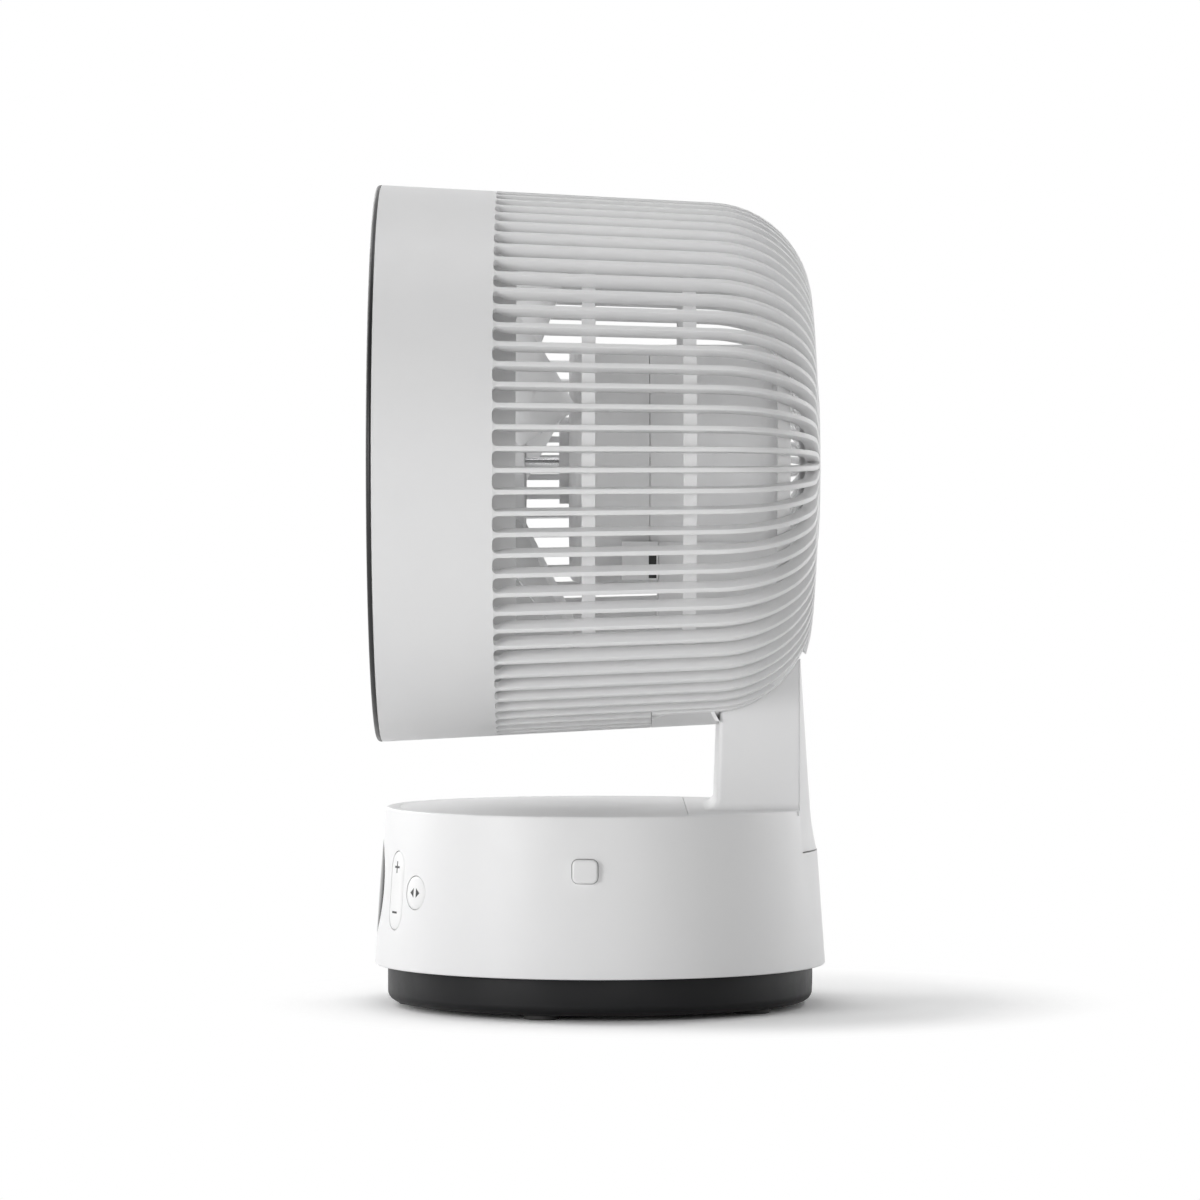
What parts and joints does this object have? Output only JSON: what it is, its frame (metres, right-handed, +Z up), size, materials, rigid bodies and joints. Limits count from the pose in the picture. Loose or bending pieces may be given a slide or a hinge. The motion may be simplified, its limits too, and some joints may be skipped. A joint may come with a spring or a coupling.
{
  "type": "air circulator fan",
  "caption": "Desk air circulator: round caged fan head tilting on a neck that stands on a swinging drum base with keys and a weighted foot.",
  "frame": {"origin": "centre of the round footprint, on the floor", "axes": "+Z up along the swing axis, -Y the way the air blows, +X to the side with the round button"},
  "size_m": [0.25, 0.2026, 0.368],
  "materials": {
    "white_casing": "fine satin moulding, white",
    "white_head": "fine satin moulding, white",
    "black_foot": "satin black moulding",
    "dark_trim": "satin black ring",
    "display_gloss": "polished black window",
    "grey_casing": "light grey moulding",
    "dark_plastic": "dark moulding",
    "bearing_plastic": "natural acetal",
    "rubber": "soft dark rubber",
    "bright_steel": "plated steel",
    "ballast_iron": "phosphated plate",
    "cast_aluminium": "die cast",
    "board_green": "solder mask",
    "copper_winding": "enamelled winding"
  },
  "bodies": {
    "foot": {"foot_pan": "black_foot", "rubber_feet": "rubber", "ballast_ring": "ballast_iron", "ballast_screws": "bright_steel", "power_inlet": "black_foot", "glide_ring": "bearing_plastic", "swing_gear": "bearing_plastic", "retaining_washer": "bright_steel", "washer_screws": "bright_steel"},
    "base": {"base_shell": "white_casing", "base_chassis": "grey_casing", "chassis_screws": "bright_steel", "top_plate": "white_casing", "display_window": "display_gloss", "display_module": "dark_plastic", "main_board": "board_green", "board_pillars": "bright_steel", "key_boards": "board_green", "side_switch": "dark_plastic", "swing_motor": "bright_steel", "stepper_screws": "bright_steel", "neck_shell": "white_casing", "neck_cover": "white_casing", "tilt_axle": "bright_steel", "axle_caps": "bright_steel", "friction_washers": "bearing_plastic"},
    "pinion": {"swing_pinion": "bearing_plastic", "pinion_shaft": "bright_steel"},
    "head": {"tilt_bracket": "cast_aluminium", "bracket_screws": "bright_steel", "neck_well": "grey_casing", "underside_panel": "white_head", "head_drum": "white_head", "rear_cage": "white_head", "cage_back": "white_head", "cage_hoops": "white_head", "air_duct": "grey_casing", "trim_ring": "dark_trim", "front_grille": "white_head", "grille_screws": "bright_steel", "motor_bracket": "grey_casing", "motor_arms": "grey_casing", "motor_case": "grey_casing", "cable_outlet": "grey_casing", "cable_grommet": "dark_plastic", "motor_stator": "copper_winding", "motor_board": "board_green", "front_bearing": "bright_steel", "rear_bearing": "bright_steel"},
    "impeller": {"motor_shaft": "bright_steel", "motor_rotor": "bright_steel", "impeller": "grey_casing", "impeller_nut": "dark_plastic"},
    "plus_minus_key": {"plus_minus_key": "white_casing"},
    "timer_key": {"timer_key": "white_casing"},
    "swing_key": {"swing_key": "white_casing"},
    "power_key": {"power_key": "white_casing"},
    "side_button": {"side_button": "white_casing"}
  },
  "joints": [
    {"name": "swing", "type": "hinge", "parent": "foot", "child": "base", "pos_m": [0, 0, 0.024], "axis": [0, 0, 1], "range_deg": [-40, 40]},
    {"name": "pinion_turn", "type": "hinge", "parent": "base", "child": "pinion", "pos_m": [0, 0.0321, 0.028], "axis": [0, 0, 1], "range_deg": [-125, 125]},
    {"name": "tilt", "type": "hinge", "parent": "base", "child": "head", "pos_m": [0, 0.072, 0.142], "axis": [-1, 0, 0], "range_deg": [0, 30]},
    {"name": "impeller_spin", "type": "hinge", "parent": "head", "child": "impeller", "pos_m": [0, 0, 0.243], "axis": [0, 1, 0], "continuous": true},
    {"name": "plus_minus_rock", "type": "hinge", "parent": "base", "child": "plus_minus_key", "pos_m": [0.03968, -0.0883, 0.0535], "axis": [0.9121, 0.4099, 0], "range_deg": [-0.8, 0.8], "stiffness_Nm_per_rad": 0.12},
    {"name": "timer_rock", "type": "hinge", "parent": "base", "child": "timer_key", "pos_m": [-0.03968, -0.0883, 0.0535], "axis": [0.9121, -0.4099, 0], "range_deg": [-0.8, 0.8], "stiffness_Nm_per_rad": 0.12},
    {"name": "swing_press", "type": "slide", "parent": "base", "child": "swing_key", "axis": [-0.5693, 0.8221, 0], "range_m": [0, 0.0004], "stiffness_N_per_m": 400},
    {"name": "power_press", "type": "slide", "parent": "base", "child": "power_key", "axis": [0.5693, 0.8221, 0], "range_m": [0, 0.0004], "stiffness_N_per_m": 400},
    {"name": "side_press", "type": "slide", "parent": "base", "child": "side_button", "axis": [-1, 0, 0], "range_m": [0, 0.0012], "stiffness_N_per_m": 400}
  ],
  "couplings": [
    {"joint": "pinion_turn", "follows": "swing", "ratio": 3}
  ]
}
